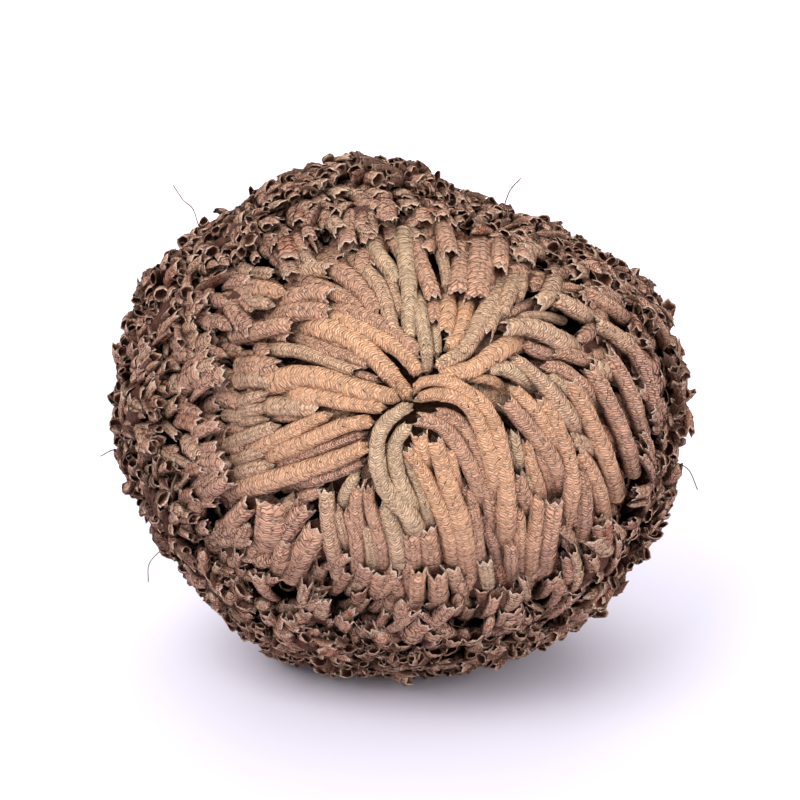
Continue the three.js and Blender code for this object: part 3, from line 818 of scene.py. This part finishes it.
     -26.4, -10.4),
    ("golden", "blunt", 0.9, 1.5, 2.2, -6.0, -5.3, -8.6, -5.4, -11.4, -6.1, -14.4, -7.4, -17.4, -8.7,
     -20.4, -9.9, -24.2, -11.4),
    ("brown", "blunt", 0.2, 1.1, 1.8, -7.2, -6.9, -9.8, -7.8, -12.8, -8.9, -15.8, -10, -19, -11.1,
     -22.8, -12.2),
    ("golden", "blunt", 1.0, 1.7, 2.6, -7.0, -8.7, -9.6, -10, -12.6, -11.2, -15.8, -12.3, -19.2, -13.4,
     -23, -14.5, -27.4, -15.8),
    ("brown", "blunt", 0.2, 1.1, 1.8, -7.4, -10.9, -9.8, -12.3, -12.6, -13.3, -15.8, -14.2, -19.4, -15),
    ("pale", "blunt", 1.2, 1.6, 1.9, -20.6, -5.9, -22.6, -6.6, -25, -7.5, -28, -8.8),
    ("pale", "blunt", 1.0, 1.0, 1.2, -22.2, -4.9, -24.3, -5.1, -27, -5.5),
    ("pale", "blunt", 1.1, 1.3, 1.5, -21.9, -3.2, -24.3, -3.5, -27.2, -4.1),
    ("pale", "blunt", 1.1, 1.4, 1.7, -22.2, -0.9, -24.3, -1.7, -27, -2.7),
    ("pale", "blunt", 1.1, 1.4, 1.8, -21.9, -9.7, -24, -10.1, -27, -11.2),
    ("pale", "blunt", 1.2, 1.7, 2.0, -21.4, -11.9, -23.8, -12.3, -27, -13.4),
    ("pink", "open", 0.7, 2.1, 2.5, -20.4, 2.7, -22.9, 3.2, -26.2, 3.0),
    ("pale", "open", 0.8, 1.8, 2.2, -20.6, 0.4, -23.1, 1.1, -26.4, 0.9),
    ("pink", "open", 0.7, 1.8, 2.3, -18.3, 9.3, -20.6, 9.2, -23.4, 8.5, -27, 7.8),
    ("pink", "open", 0.8, 2.1, 2.5, -12.9, 10.9, -15.6, 11.5, -18.4, 11.2, -21.6, 10.2),
    ("pink", "open", 0.9, 2.1, 2.5, -12.5, 13.5, -15.2, 14.2, -18, 13.4, -20.8, 11.9),
    ("pale", "open", 0.6, 1.8, 2.3, -12.8, 17.5, -15.1, 17.7, -18, 17.2),
    ("golden", "blunt", 0.9, 1.8, 2.2, -19.6, 14.1, -22, 14.6, -25.4, 14.4),
    ("pale", "blunt", 0.9, 1.4, 1.7, -21.2, 12.3, -23.5, 12.7, -26.4, 12.6),
    # the broad ones low on the left
    ("pink", "open", 0.9, 3.9, 3.5, -21.6, -17.0, -21.6, -19.6, -22.1, -22.4, -23, -25.8),
    ("pale", "blunt", 0.3, 1.4, 1.6, -18.5, -16.2, -19.3, -18.4, -20.4, -20.6),
    ("pink", "open", 0.5, 1.3, 1.5, -14.2, -15.8, -16, -16.4, -18, -16.7),
    ("brown", "open", 0.5, 2.3, 2.6, -16.3, -17.8, -17.8, -19.8, -19.7, -22.2, -22, -25),
    ("pink", "open", 0.9, 2.7, 2.9, -14.6, -21.3, -15.8, -23.3, -17.2, -25.8, -18.6, -28.6),
    ("pink", "open", 0.8, 2.0, 2.3, -19.4, -22.9, -20, -25.2, -20.8, -28),
]


def curveThrough(points, count):
    # a Catmull-Rom curve through the points, which come as x, y, x, y; evenly in its parameter
    p = np.array(points, dtype=float).reshape(-1, 2)
    t = np.linspace(0, len(p) - 1, count)
    i = np.minimum(t.astype(int), len(p) - 2)
    f = (t - i)[:, None]
    p = np.concatenate([[2 * p[0] - p[1]], p, [2 * p[-1] - p[-2]]])
    a, b, c, d = p[i], p[i + 1], p[i + 2], p[i + 3]
    bend = 2 * a - 5 * b + 4 * c - d
    return 0.5 * (2 * b + (c - a) * f + bend * f ** 2 + (3 * b - a - 3 * c + d) * f ** 3)


# How the listed ropes lie: where the mouth's middle is seen, right of and above the ball's middle, their
# depth, how their tips dip into the mouth, and how their bases go under. waves are the size and the
# number per mm of two waves of their width.
heartLie = {
    "right": 1.7, "up": 2.2, "depth": 1.5, "tipDip": 3.2, "dipSpan": 6.5, "root": 2.6, "rootSpan": 4.5,
    "liftSpan": 6, "tipSink": 0.5, "sinkSpan": 1.5, "widening": 1.3, "waves": ((0.04, 1.1), (0.03, 2.3)),
    "tipLength": 1.7, "tipRound": 2.2, "thickest": 2.9, "ageing": 0.25, "ageFrom": 10, "ageSpan": 20,
    "toneSpread": 0.02, "slant": 0.5, "flattest": 0.94, "samples": 72,
    "corrections": 8, "correction": 0.9, "heartReach": 9,
}


def cameraDistance():
    # how far off the lens sees the width that it has to, in mm
    return view["lens"] / view["sensor"] * view["across"]


def cameraWays():
    # the ways that are upward and towards the camera in its picture
    a = math.radians(view["rise"])
    return np.array([0, math.sin(a), math.cos(a)]), np.array([0, -math.cos(a), math.sin(a)])


def underView(across, up, depth):
    # the angles at which the ball's point is seen at this place from ahead, found by corrections of a
    # first guess; the view is that of a far camera, so nearer points spread by a little
    upward, toward = cameraWays()
    distance = cameraDistance()
    x = across.copy()
    y = up.copy()
    for _ in range(heartLie["corrections"]):
        fromMouth = np.degrees(np.arcsin(np.clip(np.hypot(x, y) / sphereRadius, 0, 0.99)))
        around = np.degrees(np.arctan2(y, x))
        point = onTheBall(fromMouth, around, depth) - np.array([0, 0, restHeight])
        nearer = distance / (distance - point @ toward)
        x = x + (across + heartLie["right"] - point[..., 0] * nearer) * heartLie["correction"]
        y = y + (up + heartLie["up"] + view["up"] - point @ upward * nearer) * heartLie["correction"]
    return fromMouth, around


def growHeart(growth, ropes, rng):
    # each rope's curve as seen from ahead, laid back on the ball, from its base to its tip
    for tone, end, lift, tipWidth, baseWidth, *points in ropes:
        flat = curveThrough(points, heartLie["samples"])[::-1]
        out = np.hypot(flat[:, 0], flat[:, 1])
        steps = np.hypot(*np.diff(flat, axis=0).T)
        run = np.concatenate([[0], np.cumsum(steps)])
        length = run[-1]
        rooted = smooth(1 - run / min(heartLie["rootSpan"], length * 0.5))
        depth = heartLie["depth"] - lift * smooth(run / heartLie["liftSpan"]) + heartLie["root"] * rooted
        depth = depth + heartLie["tipDip"] * smooth(1 - out / heartLie["dipSpan"])
        sinking = smooth((run - length + heartLie["sinkSpan"]) / heartLie["sinkSpan"])
        depth = depth + heartLie["tipSink"] * sinking
        fromMouth, around = underView(flat[:, 0], flat[:, 1], depth)
        (high, fast), (higher, faster) = heartLie["waves"]
        wave = 1 + high * np.sin(run * fast + 7 * flat[0, 0]) + higher * np.sin(run * faster + flat[0, 1])
        narrow = tipWidth * heartLie["widening"]
        broad = baseWidth * heartLie["widening"]
        width = (broad + (narrow - broad) * (run / length)) * wave
        if end == "blunt":
            toTip = np.clip(1 - (length - run) / heartLie["tipLength"], 0, 1)
            width = width * np.sqrt(np.clip(1 - toTip ** heartLie["tipRound"], 0.02, 1))
        age, branch = ropeTones[tone]
        ages = age + heartLie["ageing"] * smooth((out - heartLie["ageFrom"]) / heartLie["ageSpan"])
        rope = {
            "paths": onTheBall(fromMouth, around, depth)[None], "radii": (width / 2)[None],
            "ages": ages[None],
            "tones": np.array([branch + rng.uniform(-heartLie["toneSpread"], heartLie["toneSpread"])]),
            "rolls": np.zeros(1), "slants": np.array([heartLie["slant"]]),
            "flats": np.array([min(heartLie["flattest"], heartLie["thickest"] / broad)]),
        }
        growTubes(growth, rope, heartShape, end, rng)


# What all rows share: how their lanes narrow at a frond's tip, over how many degrees they are lifted, how
# a blunt tip closes, how a rope thickens from its root, and the spreads of its length, age and slant.
rowing = {
    "tipLanes": 0.62, "tipLanesSpan": 9, "liftSpan": 14, "closingFrom": 0.8, "closingRound": 2.2,
    "rootShare": 0.75, "driftPower": 1.5, "lengths": (0.75, 1.25), "widths": (0.6, 1.5), "ageSpread": 0.1,
    "slants": (0.2, 1.6), "furthest": 176,
}


def growRows(growth, index, number, rows, shape, rng):
    # Short ropes laid like shingles on a frond: rows at even steps from the mouth, lanes across it,
    # each rope rising from under the one before towards the mouth.
    whorl = whorls[index]
    tip = tipOf(index, number) + rows["from"]
    start = max(tip, rows["nearest"])
    stop = min(baseOf(index), rows["until"])
    perDegree = math.radians(1) * sphereRadius
    widening = 1 - rowing["tipLanes"]
    places = []
    for row, angle in enumerate(np.arange(start, stop, rows["step"] / perDegree)):
        low = edgeOf(whorl, number, np.array(angle))
        high = edgeOf(whorl, number + 1, np.array(angle))
        width = math.radians(high - low) * sphereRadius * math.sin(math.radians(angle))
        lanes = max(1, int(round(width / rows["lane"])))
        narrowing = rowing["tipLanes"] + widening * smooth((angle - tip) / rowing["tipLanesSpan"])
        v = (np.arange(lanes) + 0.5 + 0.5 * (row % 2) - 0.25) / lanes * 2 - 1
        around = (low + high) / 2 + (high - low) / 2 * v * narrowing
        places.append(np.stack([np.full(lanes, angle), around], -1))
    if not places:
        return
    places = np.concatenate(places)
    n = len(places)
    widths = rows["width"] * np.exp(rng.normal(0, rows["variety"], n)).clip(*rowing["widths"])
    lengths = (rows["length"] * rng.uniform(*rowing["lengths"], n))[:, None]
    yaw = rng.normal(0, rows["yaw"], n)[:, None]
    tipDepth = rows["tipDepth"] + rng.normal(0, rows["depthScatter"], n)
    t = np.linspace(0, 1, rows["samples"])[None, :]
    angle = places[:, :1] + rng.normal(0, rows["scatter"], (n, 1)) / perDegree
    angle = np.clip(angle + (lengths / perDegree) * (1 - t), 1, rowing["furthest"])
    sine = np.maximum(np.sin(np.radians(angle)), 0.12)
    drift = lengths * np.sin(np.radians(yaw)) * (t ** rowing["driftPower"])
    drift = drift + rng.normal(0, rows["scatter"], (n, 1))
    around = places[:, 1:] + np.degrees(drift / (sphereRadius * sine))
    rising = t ** rows["rise"]
    depth = depthOf(index, angle) + rows["rootDepth"] * (1 - rising) + tipDepth[:, None] * rising
    lifted = smooth((angle - rows["liftFrom"]) / rowing["liftSpan"])
    depth = depth - rows["arch"] * np.sin(np.pi * t) - rows["lift"] * lifted
    toTip = np.clip((t - rowing["closingFrom"]) / (1 - rowing["closingFrom"]), 0, 1)
    closing = np.sqrt(np.clip(1 - toTip ** rowing["closingRound"], 0.03, 1))
    blunt = rng.random(n) < rows["bluntShare"]
    swell = rowing["rootShare"] + (1 - rowing["rootShare"]) * smooth(t * 2)
    swell = swell * np.where(blunt[:, None], closing, 1)
    ages = rows["age"] + rows["ageSlope"] * (angle - rows["ageFrom"])
    ages = ages + rng.normal(0, rowing["ageSpread"], (n, 1))
    ropes = {
        "paths": inTheBall(angle, around, depth), "radii": widths[:, None] / 2 * swell,
        "ages": np.clip(ages, 0, 1), "tones": rng.random(n),
        "rolls": np.radians(rng.normal(0, rows["roll"], n)),
        "slants": rows["slant"] * rng.uniform(*rowing["slants"], n),
        "flats": rng.uniform(*rows["flat"], n),
    }
    for end, chosen in (("blunt", blunt), ("open", ~blunt)):
        if chosen.any():
            growTubes(growth, {key: values[chosen] for key, values in ropes.items()}, shape, end, rng)


# The rows of small ropes of each whorl, from the outer to the heart fronds: where they begin and end and
# their steps and lanes; a rope's length and width; how it turns, rises, arches, scatters, rolls and is
# cut; and its age by the angle from the mouth.
rowLooks = {
    "from": (-5.0, -4.5, 0.0, 5.0), "nearest": (40, 36, 34, 0), "until": (166, 80, 60, 36),
    "step": (2.5, 3.9, 4.9, 7.5), "lane": (1.95, 2.3, 2.75, 2.9), "length": (4.4, 7.2, 9.0, 12),
    "width": (1.85, 2.25, 2.5, 2.5), "variety": (0.26, 0.2, 0.16, 0.1), "yaw": (34, 15, 9, 6),
    "tipDepth": (1.4, 1.9, 1.9, 3.6), "rootDepth": (3.0, 3.0, 3.2, 4.4), "rise": (0.8, 0.8, 0.8, 1.0),
    "arch": (0.45, 0.65, 0.7, 0.4), "depthScatter": (0.6, 0.65, 0.6, 0.3),
    "scatter": (0.6, 0.7, 0.7, 0.5), "roll": (60, 32, 20, 5), "slant": (1.5, 1.4, 1.2, 0.5),
    "flat": ((0.4, 0.85), (0.45, 0.8), (0.5, 0.85), (0.85, 0.95)), "samples": (8, 10, 12, 14),
    "lift": (0.0, 1.8, 1.6, 0.0), "liftFrom": (60, 56, 42, 40), "age": (0.86, 0.78, 0.5, 0.3),
    "ageSlope": (0.004, 0.008, 0.014, 0.012), "ageFrom": (58, 42, 32, 10),
    "bluntShare": (0.25, 0.18, 0.3, 0.8),
}
rowShapes = (twigShape, ropeShape, ropeShape, ropeShape)

# The camera: its rise and lens, what it sees across, and what it looks at beside the ball's middle.
view = {"rise": 18, "lens": 120, "sensor": 36, "across": 121.2, "left": 0.45, "up": 2.1, "nearest": 0.01}


def setCamera():
    # looks down at the ball's middle from the mouth's side, far off through a long lens
    upward, toward = cameraWays()
    aim = np.array([-view["left"], 0, restHeight]) + upward * view["up"]
    camera = bpy.data.cameras.new("camera")
    camera.lens = view["lens"]
    camera.sensor_width = view["sensor"]
    camera.clip_start = view["nearest"]
    seen = show("camera", camera)
    seen.location = Vector((aim + toward * cameraDistance()) * metre)
    seen.rotation_euler = (math.radians(90 - view["rise"]), 0, 0)
    bpy.context.scene.camera = seen


# The floor's colour as it is seen, and each lamp's place, power and size.
studio = {
    "floor": (232, 229, 245), "floorHalf": 3.0, "floorRoughness": 0.9, "floorShine": 0.5, "sky": 0.88,
    "key": ((-0.34, -0.42, 0.62), 3.95, 0.5), "fill": ((0.6, -0.5, 0.25), 2.3, 0.6),
    "back": ((0.0, 0.75, 0.5), 6.6, 0.8),
}


def addLight(name):
    # a square lamp turned to the ball
    place, power, size = studio[name]
    lamp = bpy.data.lights.new(name, "AREA")
    lamp.energy = power
    lamp.size = size
    light = show(name, lamp)
    light.location = place
    toBall = Vector((0, 0, restHeight * metre)) - Vector(place)
    light.rotation_euler = toBall.to_track_quat("-Z", "Y").to_euler()
    return light


def setStudio():
    # a wide pale floor, an even sky, two soft lamps at the front and one behind that shines straight down
    half = studio["floorHalf"]
    mesh = bpy.data.meshes.new("floor")
    corners = [(-half, -half, 0), (half, -half, 0), (half, half, 0), (-half, half, 0)]
    mesh.from_pydata(corners, [], [(0, 1, 2, 3)])
    floor = show("floor", mesh)
    material, shader, _ = startMaterial("floor_paper", studio["floorShine"])
    shader.inputs["Base Color"].default_value = linear(*studio["floor"])
    shader.inputs["Roughness"].default_value = studio["floorRoughness"]
    mesh.materials.append(material)
    world = bpy.data.worlds.new("studio")
    world.use_nodes = True
    background = world.node_tree.nodes["Background"]
    background.inputs[0].default_value = (1, 1, 1, 1)
    background.inputs[1].default_value = studio["sky"]
    bpy.context.scene.world = world
    bpy.context.scene.view_settings.view_transform = "Standard"
    addLight("key")
    addLight("fill")
    addLight("back").rotation_euler = (0, 0, 0)


setCamera()
setStudio()
print("camera, floor and light set")


# Stray hairs at the edge as seen from ahead: a radius, then across and up from the ball's middle, in mm.
hairs = [
    (0.09, -29, 25.5, -30.8, 28.2, -31.8, 31, -33.3, 32.4, -34.8, 34.6),
    (0.09, -41, -6, -43.6, -5.4, -45.8, -6.4),
    (0.09, 40.5, -7, 43.2, -8.4, 44.6, -11.4),
    (0.08, -36, -20, -38.4, -22.6, -38.6, -25.4),
    (0.10, 15, 30.5, 16.2, 33.8, 17.8, 35.6),
]
hairShape = dict(twigShape, pitch=0.5, leaves=3)
hairSamples = 24


def growHairs(growth, hairs, rng):
    # each hair is a thin tube in the plane through the ball's middle that faces the camera
    a = math.radians(view["rise"])
    for radius, *points in hairs:
        flat = curveThrough(points, hairSamples)
        path = np.stack([flat[:, 0], flat[:, 1] * math.sin(a), flat[:, 1] * math.cos(a)], -1)
        path = path + np.array([0, 0, restHeight])
        rope = {
            "paths": path[None], "radii": np.full((1, hairSamples), radius),
            "ages": np.ones((1, hairSamples)), "tones": np.array([0.5]), "rolls": np.zeros(1),
            "slants": np.zeros(1), "flats": np.ones(1),
        }
        growTubes(growth, rope, hairShape, "blunt", rng)


def place(piece, node, slot):
    # stands for one CAD node and moves with the plant
    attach(piece, "root")
    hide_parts(node)


leafy = leafMaterial("dry_scale_leaf", leafLooks)
# the frond blade's dark browns are painted shade between the ropes
blade = woodMaterial("dark_frond_blade", woodLooks)
woody = woodMaterial("root_wood", dict(woodLooks, dark=(44, 26, 18), light=(116, 80, 58), grainSize=1.2))


def frondAt(index, spot):
    # the frond of a whorl whose sector this place lies in, by its angle round the mouth
    whorl = whorls[index]
    sector = (math.degrees(math.atan2(spot[1], spot[0])) - whorl["firstFrond"]) / (360 / whorl["count"])
    return index, int(round(sector)) % whorl["count"]


# The listed ropes go to the heart fronds if their tips are near the mouth's middle, and otherwise to the
# inner ones; the hairs go to the outer ones.
ropesOf = {}
for rope in heartRopes:
    index = 3 if math.hypot(*rope[5:7]) < heartLie["heartReach"] else 2
    ropesOf.setdefault(frondAt(index, rope[-2:]), []).append(rope)
hairsOf = {}
for hair in hairs:
    hairsOf.setdefault(frondAt(0, hair[1:3]), []).append(hair)

faceTotal = 0
for index, whorl in enumerate(whorls):
    rows = {key: values[index] for key, values in rowLooks.items()}
    for number in range(whorl["count"]):
        rng = np.random.default_rng(1000 * index + number)
        growth = Growth()
        growBlade(growth, index, number, bladeLooks)
        growHeart(growth, ropesOf.get((index, number), []), rng)
        growHairs(growth, hairsOf.get((index, number), []), rng)
        growRows(growth, index, number, rows, rowShapes[index], rng)
        node = f"{whorl['name']}_{number + 1:02d}"
        place(growth.finish(node + "_leafy", [leafy, blade]), node, whorl["name"])
        faceTotal += sum(int((sizes - 2).sum()) for sizes in growth.sizes)
    print(whorl["name"], "whorl grown,", faceTotal, "triangles so far")


def aboutAxis(across, along, around):
    # the points at a distance across from the ball's axis and along it, less than 0 behind the middle
    fromMouth = 180 - np.degrees(np.arctan2(np.maximum(across, 0.05), -along))
    return inTheBall(fromMouth, around, sphereRadius - np.hypot(across, along))


crownLooks = {
    "sides": 48, "rings": 26, "ribs": 13, "rib": 0.05, "knob": 0.04, "endPower": 7, "endFall": 0.55,
    "share": 0.97, "sunk": 0.4,
}


def growCrown(growth, looks):
    # a turned stump whose side is ribbed by the bases of old stalks
    length = (len(whorls) - 1) * layerPitch + ball["frondThickness"]
    s = np.linspace(0, 1, looks["rings"])[:, None]
    phi = 2 * np.pi * np.arange(looks["sides"])[None, :] / looks["sides"]
    profile = ball["crownRadius"] * (1 - np.abs(2 * s - 1) ** looks["endPower"] * looks["endFall"])
    ribs = looks["rib"] * np.sin(looks["ribs"] * phi + 3 * s)
    knobs = looks["knob"] * np.sin(17 * s + 4 * phi)
    across = profile * (1 + ribs + knobs) * looks["share"]
    growth.addShell(aboutAxis(across, looks["sunk"] - sphereRadius + length * s, np.degrees(phi)))


# The rootlets: a pair is the least and the most of a draw.
rootLooks = {
    "count": 110, "samples": 26, "sides": 7, "turning": 30, "start": (0.2, 6.0), "end": (3.0, 8.6),
    "wave": 0.5, "waves": (4, 11), "out": 5.2, "outs": (0.35, 1.0), "sunk": 1.5, "bend": (0.45, 0.85),
    "radius": (0.22, 0.5), "taper": 0.6, "knots": 0.15, "tip": 0.2,
}


def growRoots(growth, looks, rng):
    # wiry rootlets: each leaves the crown near the middle, bends over outwards and wanders
    n = looks["count"]

    def drawn(span):
        # one even draw from the span for each rootlet
        return rng.uniform(*span, (n, 1))

    t = np.linspace(0, 1, looks["samples"])[None, :]
    around = drawn((0, 360)) + rng.normal(0, looks["turning"], (n, 1)) * t
    start = drawn(looks["start"])
    end = drawn(looks["end"])
    across = start + (end - start) * t + looks["wave"] * np.sin(t * drawn(looks["waves"]) + drawn((0, 6)))
    height = drawn(looks["outs"]) * looks["out"] + looks["sunk"]
    proud = height * np.sin(np.pi * np.clip(t * drawn(looks["bend"]), 0, 1)) - looks["sunk"]
    paths = aboutAxis(across, -(sphereRadius + proud), around)
    radii = drawn(looks["radius"]) * (1 - looks["taper"] * t)
    tangents, normals, sideways = framesAlong(paths, np.tile(levelWay, (n, 1)))
    phi = 2 * np.pi * np.arange(looks["sides"]) / looks["sides"]
    out = normals[:, :, None] * np.cos(phi)[None, None, :, None]
    out = out + sideways[:, :, None] * np.sin(phi)[None, None, :, None]
    knots = 1 + looks["knots"] * rng.normal(0, 1, (n, looks["samples"], 1))
    rings = paths[:, :, None] + out * (radii[:, :, None] * knots)[..., None]
    tips = paths[:, -1] + tangents[:, -1] * looks["tip"]
    corners = np.concatenate([paths[:, :1], rings.reshape(n, -1, 3), tips[:, None]], axis=1)
    growth.addTubes(corners, {}, looks["sides"])


lensLooks = {
    "rings": 14, "sides": 32, "edgePower": 0.6, "lump": 0.06, "lumps": 5, "knob": 0.04, "knobs": 11,
}


def growLenses(growth, lenses, looks):
    # lumpy lenses across the ball's axis, each given by its radius, its place behind the middle and its
    # half thickness
    s = np.linspace(0.02, 1, looks["rings"])[:, None]
    phi = 2 * np.pi * np.arange(looks["sides"])[None, :] / looks["sides"]
    lumps = looks["lump"] * np.sin(looks["lumps"] * phi)
    knobs = looks["knob"] * np.sin(looks["knobs"] * phi + 6 * s)
    for widest, behind, thickness in lenses:
        across = widest * (np.sin(s * np.pi) ** looks["edgePower"] * (1 + lumps + knobs))
        growth.addShell(aboutAxis(across, -(behind + thickness * np.cos(s * np.pi)), np.degrees(phi)))


# The pad that the rootlets come out of, and the stalks packed behind the mouth and before the crown.
mattedPad = [(7.4, sphereRadius + 0.8, 2.3)]
packedStalks = [(27, sphereRadius - 19, 1.5), (11, 13 - sphereRadius, 1.2)]
crown = Growth()
growCrown(crown, crownLooks)
growLenses(crown, packedStalks, lensLooks)
place(crown.finish("root_crown_wood", [woody]), "root_crown", "root_crown")
roots = Growth()
growLenses(roots, mattedPad, lensLooks)
growRoots(roots, rootLooks, np.random.default_rng(77))
place(roots.finish("root_tuft_wiry", [woody]), "root_tuft", "root_tuft")
print("crown and roots grown")
